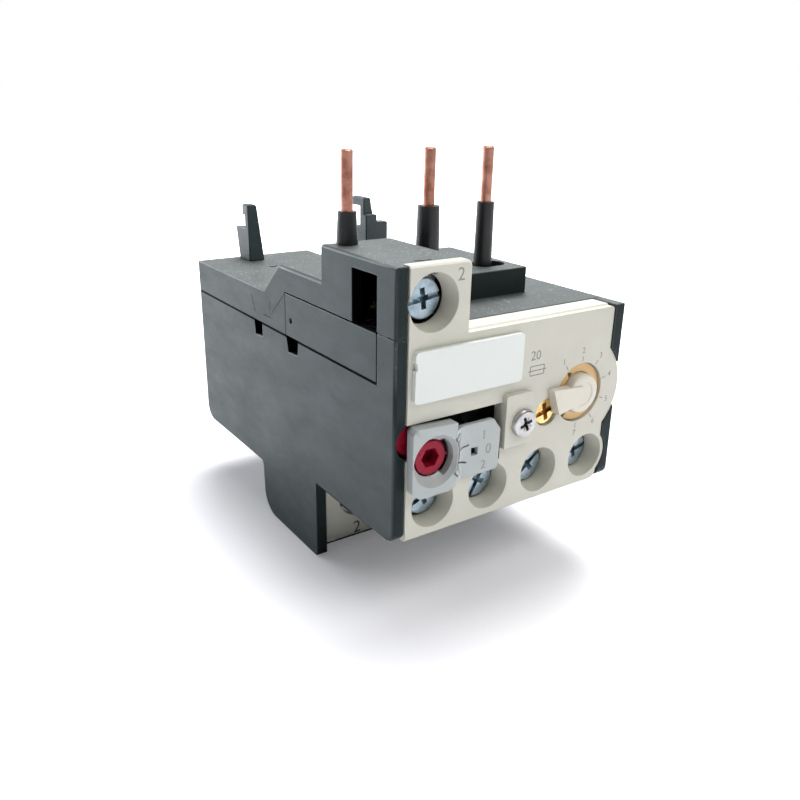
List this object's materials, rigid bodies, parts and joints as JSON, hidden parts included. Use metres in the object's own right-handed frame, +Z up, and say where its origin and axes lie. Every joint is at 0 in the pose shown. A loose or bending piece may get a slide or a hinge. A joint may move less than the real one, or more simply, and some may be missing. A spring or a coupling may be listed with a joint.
{
  "type": "thermal overload relay",
  "caption": "Plug-in thermal overload relay with line pins, cage clamps, setting dial, reset button and trip mechanism.",
  "frame": {"origin": "bottom centre of the bounding box, on the plane the foot stands on", "axes": "+Z up along the line pins, front with the terminals towards -Y, +X to the right seen from the front"},
  "size_m": [0.0456, 0.0738, 0.0688],
  "materials": {
    "housing_plastic": "dark grey-green satin moulding",
    "cover_plastic": "warm light grey satin moulding",
    "marker_plastic": "white marker",
    "legend_plastic": "light grey satin",
    "red_plastic": "red",
    "dial_plastic": "cream",
    "ring_plastic": "pale orange",
    "sleeve_plastic": "black",
    "hook_plastic": "dark grey",
    "copper": "bare copper",
    "zinc_steel": "blue zinc plated",
    "plated_steel": "plated",
    "bright_steel": "nickel plated",
    "brass_screw": "brass",
    "strip_brass": "brass strip",
    "bimetal_steel": "bimetal strip",
    "heater_ribbon": "wound heater ribbon",
    "inner_plastic": "natural plastic",
    "spring_steel": "spring wire"
  },
  "bodies": {
    "housing": {"aux_clamps": "plated_steel", "aux_screws": "zinc_steel", "carrier_spring": "spring_steel", "contact_strip_1": "strip_brass", "contact_strip_2": "strip_brass", "contact_strip_3": "strip_brass", "contact_strip_4": "strip_brass", "cover_screw": "bright_steel", "front_cover": "cover_plastic", "latch_hook_left": "hook_plastic", "latch_hook_right": "hook_plastic", "legend_plate": "legend_plastic", "lever_pin": "plated_steel", "line_pin_1": "copper", "line_pin_2": "copper", "line_pin_3": "copper", "load_bar_1": "strip_brass", "load_bar_2": "strip_brass", "load_bar_3": "strip_brass", "load_clamp_1": "plated_steel", "load_clamp_2": "plated_steel", "load_clamp_3": "plated_steel", "load_screws": "zinc_steel", "lower_housing": "housing_plastic", "marker_plate": "marker_plastic", "pin_sleeve_1": "sleeve_plastic", "pin_sleeve_2": "sleeve_plastic", "pin_sleeve_3": "sleeve_plastic", "reset_guide": "sleeve_plastic", "reset_spring": "spring_steel", "side_panel": "housing_plastic", "terminal_cover": "cover_plastic", "tower_clamp": "plated_steel", "tower_screw": "zinc_steel", "tower_strip": "strip_brass", "upper_housing": "housing_plastic"},
    "dial": {"dial_knob": "dial_plastic", "dial_ring": "ring_plastic", "dial_cam": "dial_plastic"},
    "calibration": {"calibration_screw": "brass_screw"},
    "reset": {"reset_button": "red_plastic"},
    "selector": {"mode_selector": "red_plastic"},
    "test": {"test_pin": "plated_steel"},
    "trip_bar": {"trip_slider": "inner_plastic"},
    "return_bar": {"return_slider": "inner_plastic"},
    "strip_1": {"bimetal_1": "bimetal_steel", "heater_1": "heater_ribbon"},
    "strip_2": {"bimetal_2": "bimetal_steel", "heater_2": "heater_ribbon"},
    "strip_3": {"bimetal_3": "bimetal_steel", "heater_3": "heater_ribbon"},
    "lever": {"trip_lever": "inner_plastic", "compensation_strip": "bimetal_steel"},
    "carrier": {"contact_carrier": "inner_plastic", "opening_bridge": "strip_brass", "closing_bridge": "strip_brass"}
  },
  "joints": [
    {"name": "dial_turn", "type": "hinge", "parent": "housing", "child": "dial", "pos_m": [0.01365, -0.03505, 0.0312], "axis": [0, 1, 0], "range_deg": [-15, 235]},
    {"name": "calibration_turn", "type": "hinge", "parent": "housing", "child": "calibration", "pos_m": [0.00655, -0.03505, 0.0292], "axis": [0, 1, 0], "range_deg": [-180, 180]},
    {"name": "reset_push", "type": "slide", "parent": "housing", "child": "reset", "axis": [0, 1, 0], "range_m": [0, 0.0015], "stiffness_N_per_m": 900, "springref_m": -0.001, "deforming": ["reset_spring"]},
    {"name": "selector_turn", "type": "hinge", "parent": "reset", "child": "selector", "pos_m": [-0.0164, -0.03505, 0.0268], "axis": [0, 1, 0], "range_deg": [-45, 45]},
    {"name": "test_push", "type": "slide", "parent": "housing", "child": "test", "axis": [0, 1, 0], "range_m": [0, 0.0012], "stiffness_N_per_m": 300, "springref_m": -0.0008},
    {"name": "trip_shift", "type": "slide", "parent": "housing", "child": "trip_bar", "axis": [1, 0, 0], "range_m": [0, 0.0006], "stiffness_N_per_m": 400, "springref_m": -0.0003},
    {"name": "return_shift", "type": "slide", "parent": "housing", "child": "return_bar", "axis": [1, 0, 0], "range_m": [0, 0.0006]},
    {"name": "lever_swing", "type": "hinge", "parent": "housing", "child": "lever", "pos_m": [0.01605, 0.01095, 0.032], "axis": [0, 0, 1], "range_deg": [-5.9, 0]},
    {"name": "carrier_shift", "type": "slide", "parent": "housing", "child": "carrier", "axis": [-1, 0, 0], "range_m": [0, 0.00245], "deforming": ["carrier_spring"]},
    {"name": "strip_bend_1", "type": "hinge", "parent": "housing", "child": "strip_1", "pos_m": [-0.01395, 0.01745, 0.0155], "axis": [0, 1, 0], "range_deg": [0, 1.95]},
    {"name": "strip_bend_2", "type": "hinge", "parent": "housing", "child": "strip_2", "pos_m": [-0.0006, 0.01745, 0.0155], "axis": [0, 1, 0], "range_deg": [0, 1.95]},
    {"name": "strip_bend_3", "type": "hinge", "parent": "housing", "child": "strip_3", "pos_m": [0.01275, 0.01745, 0.0155], "axis": [0, 1, 0], "range_deg": [0, 1.95]}
  ],
  "couplings": [
    {"joint": "return_shift", "follows": "trip_shift", "ratio": 1},
    {"joint": "lever_swing", "follows": "trip_shift", "rad_per_m": -166.67},
    {"joint": "carrier_shift", "follows": "trip_shift", "ratio": 4},
    {"joint": "strip_bend_1", "follows": "trip_shift", "rad_per_m": 56.18},
    {"joint": "strip_bend_2", "follows": "trip_shift", "rad_per_m": 56.18},
    {"joint": "strip_bend_3", "follows": "trip_shift", "rad_per_m": 56.18}
  ]
}
